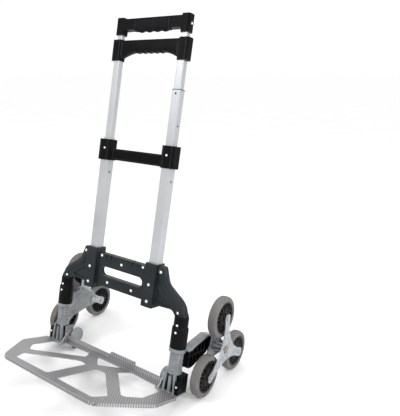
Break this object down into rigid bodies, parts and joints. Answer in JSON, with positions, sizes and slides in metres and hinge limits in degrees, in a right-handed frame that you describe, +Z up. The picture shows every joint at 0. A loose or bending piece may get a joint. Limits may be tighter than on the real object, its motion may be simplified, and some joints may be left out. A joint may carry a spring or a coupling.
{
  "type": "stair climbing trolley",
  "caption": "Folding two-post hand truck with a telescopic handle, a folding toe plate and swinging brackets that carry stars of three wheels for climbing stairs.",
  "frame": {"origin": "on the floor, below the middle of the bounding box", "axes": "+Z up, +X to the right seen from the front, -Y towards the toe plate's nose"},
  "size_m": [0.6278, 0.5782, 1.0471],
  "materials": {
    "tube": "satin anodised",
    "shell": "fine texture",
    "handle": "fine texture",
    "grip": "soft",
    "rivet": "bright",
    "side_tube": "satin black",
    "sleeve": "satin",
    "casting": "satin grey nylon",
    "bolt": "zinc plated",
    "star": "zinc plated sheet",
    "rim": "satin",
    "tyre": "matt grey",
    "plate": "grey painted, fine diamond texture"
  },
  "bodies": {
    "frame": {"outer_tube_left": "tube", "outer_tube_right": "tube", "tube_plugs": "sleeve", "tube_bracket": "handle", "bracket_screws": "rivet", "frame_front_shell": "shell", "frame_rear_shell": "shell", "frame_rivets": "rivet", "side_tube_right": "side_tube", "side_tube_left": "side_tube", "post_sleeve_right": "sleeve", "post_sleeve_left": "sleeve", "sleeve_rivets": "rivet", "foot_casting_right": "casting", "foot_casting_left": "casting", "foot_block_right": "sleeve", "foot_block_left": "sleeve", "block_screws": "rivet", "foot_heel_right": "grip", "foot_heel_left": "grip", "pivot_pin_right": "bolt", "pivot_pin_left": "bolt"},
    "second_left": {"second_tube_left": "tube"},
    "second_right": {"second_tube_right": "tube"},
    "middle": {"third_tube_left": "tube", "third_tube_right": "tube", "middle_handle": "handle", "middle_screws": "rivet"},
    "top": {"top_tube_left": "tube", "top_tube_right": "tube", "top_handle": "handle", "top_grip": "grip", "top_screws": "rivet"},
    "plate": {"toe_plate": "plate", "plate_clip": "plate"},
    "bracket_right": {"swivel_bracket_right": "casting", "bracket_web_right": "sleeve", "hub_bolt_right": "bolt"},
    "star_right": {"star_outer_right": "star", "star_inner_right": "star", "hub_spacer_right": "star", "wheel_axles_right": "bolt"},
    "wheel_upper_right": {"rim_upper_right": "rim", "tyre_upper_right": "tyre"},
    "wheel_front_right": {"rim_front_right": "rim", "tyre_front_right": "tyre"},
    "wheel_rear_right": {"rim_rear_right": "rim", "tyre_rear_right": "tyre"},
    "bracket_left": {"swivel_bracket_left": "casting", "bracket_web_left": "sleeve", "hub_bolt_left": "bolt"},
    "star_left": {"star_outer_left": "star", "star_inner_left": "star", "hub_spacer_left": "star", "wheel_axles_left": "bolt"},
    "wheel_upper_left": {"rim_upper_left": "rim", "tyre_upper_left": "tyre"},
    "wheel_front_left": {"rim_front_left": "rim", "tyre_front_left": "tyre"},
    "wheel_rear_left": {"rim_rear_left": "rim", "tyre_rear_left": "tyre"}
  },
  "joints": [
    {"name": "middle_slide", "type": "slide", "parent": "frame", "child": "middle", "axis": [0, 0.2045, 0.9789], "range_m": [-0.22, 0.03]},
    {"name": "second_right_slide", "type": "slide", "parent": "frame", "child": "second_right", "axis": [0, 0.2045, 0.9789], "range_m": [-0.1482, 0.0203]},
    {"name": "second_left_slide", "type": "slide", "parent": "frame", "child": "second_left", "axis": [0, 0.2045, 0.9789], "range_m": [0, 0.17]},
    {"name": "top_slide", "type": "slide", "parent": "middle", "child": "top", "axis": [0, 0.2045, 0.9789], "range_m": [-0.01, 0.15]},
    {"name": "plate_fold", "type": "hinge", "parent": "frame", "child": "plate", "pos_m": [0, -0.00754, 0.06039], "axis": [-1, 0, 0], "range_deg": [0, 82.5]},
    {"name": "swing_right", "type": "hinge", "parent": "frame", "child": "bracket_right", "pos_m": [0.225, 0.00015, 0.12211], "axis": [0, 0.2045, 0.9789], "range_deg": [0, 62]},
    {"name": "star_right_spin", "type": "hinge", "parent": "bracket_right", "child": "star_right", "pos_m": [0.2845, 0.14185, 0.1109], "axis": [1, 0, 0], "continuous": true},
    {"name": "wheel_upper_right_spin", "type": "hinge", "parent": "star_right", "child": "wheel_upper_right", "pos_m": [0.2845, 0.14185, 0.2103], "axis": [1, 0, 0], "continuous": true},
    {"name": "wheel_front_right_spin", "type": "hinge", "parent": "star_right", "child": "wheel_front_right", "pos_m": [0.2845, 0.05577, 0.0612], "axis": [1, 0, 0], "continuous": true},
    {"name": "wheel_rear_right_spin", "type": "hinge", "parent": "star_right", "child": "wheel_rear_right", "pos_m": [0.2845, 0.22793, 0.0612], "axis": [1, 0, 0], "continuous": true},
    {"name": "swing_left", "type": "hinge", "parent": "frame", "child": "bracket_left", "pos_m": [-0.225, 0.00015, 0.12211], "axis": [0, 0.2045, 0.9789], "range_deg": [-78, 0]},
    {"name": "star_left_spin", "type": "hinge", "parent": "bracket_left", "child": "star_left", "pos_m": [-0.2845, 0.14185, 0.1109], "axis": [1, 0, 0], "continuous": true},
    {"name": "wheel_upper_left_spin", "type": "hinge", "parent": "star_left", "child": "wheel_upper_left", "pos_m": [-0.2845, 0.14185, 0.2103], "axis": [1, 0, 0], "continuous": true},
    {"name": "wheel_front_left_spin", "type": "hinge", "parent": "star_left", "child": "wheel_front_left", "pos_m": [-0.2845, 0.05577, 0.0612], "axis": [1, 0, 0], "continuous": true},
    {"name": "wheel_rear_left_spin", "type": "hinge", "parent": "star_left", "child": "wheel_rear_left", "pos_m": [-0.2845, 0.22793, 0.0612], "axis": [1, 0, 0], "continuous": true}
  ],
  "couplings": [
    {"joint": "second_right_slide", "follows": "middle_slide", "ratio": 0.673},
    {"joint": "swing_right", "follows": "plate_fold", "ratio": 0.7515},
    {"joint": "swing_left", "follows": "plate_fold", "ratio": -0.945}
  ]
}
